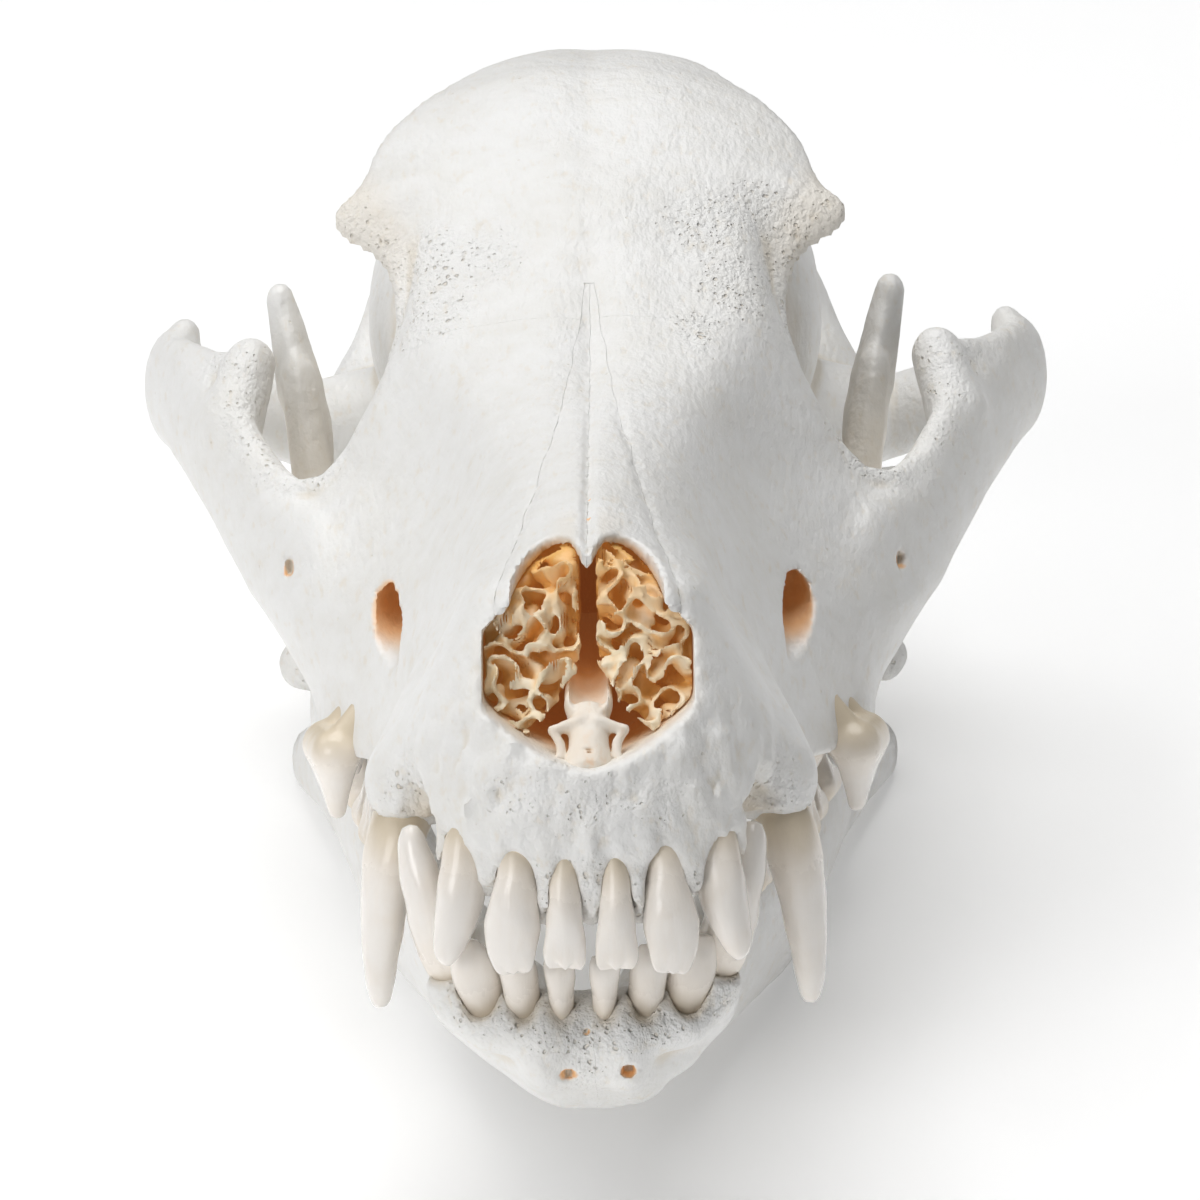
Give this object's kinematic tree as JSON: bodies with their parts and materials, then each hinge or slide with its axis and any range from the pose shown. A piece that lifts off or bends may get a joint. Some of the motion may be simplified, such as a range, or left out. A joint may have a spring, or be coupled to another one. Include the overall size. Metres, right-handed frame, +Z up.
{
  "type": "dog skull",
  "caption": "Bleached dog skull with its lower jaw, life size: long muzzle, open nose with scrolled bone inside, wide cheek arches and full rows of teeth. Rests on its lower jaw.",
  "frame": {"origin": "centre of the bounding box's bottom face, on the floor that the lower jaw rests on", "axes": "+Y from the front teeth to the back of the skull, +Z up, +X to the animal's left"},
  "size_m": [0.1114, 0.2108, 0.0934],
  "materials": {
    "bone": "bleached bone, matt and finely porous, with glossier ivory teeth",
    "scrolled_bone": "thin cream and orange brown scrolled bone, matt",
    "inner_bone": "tan inner bone, matt"
  },
  "bodies": {
    "root": {"braincase": "bone", "upper_jaw": "bone", "nasal_left": "bone", "nasal_right": "bone", "zygomatic_left": "bone", "zygomatic_right": "bone", "turbinates_left": "scrolled_bone", "turbinates_right": "scrolled_bone", "vomer": "inner_bone", "mandible_left": "bone", "mandible_right": "bone"}
  },
  "joints": []
}
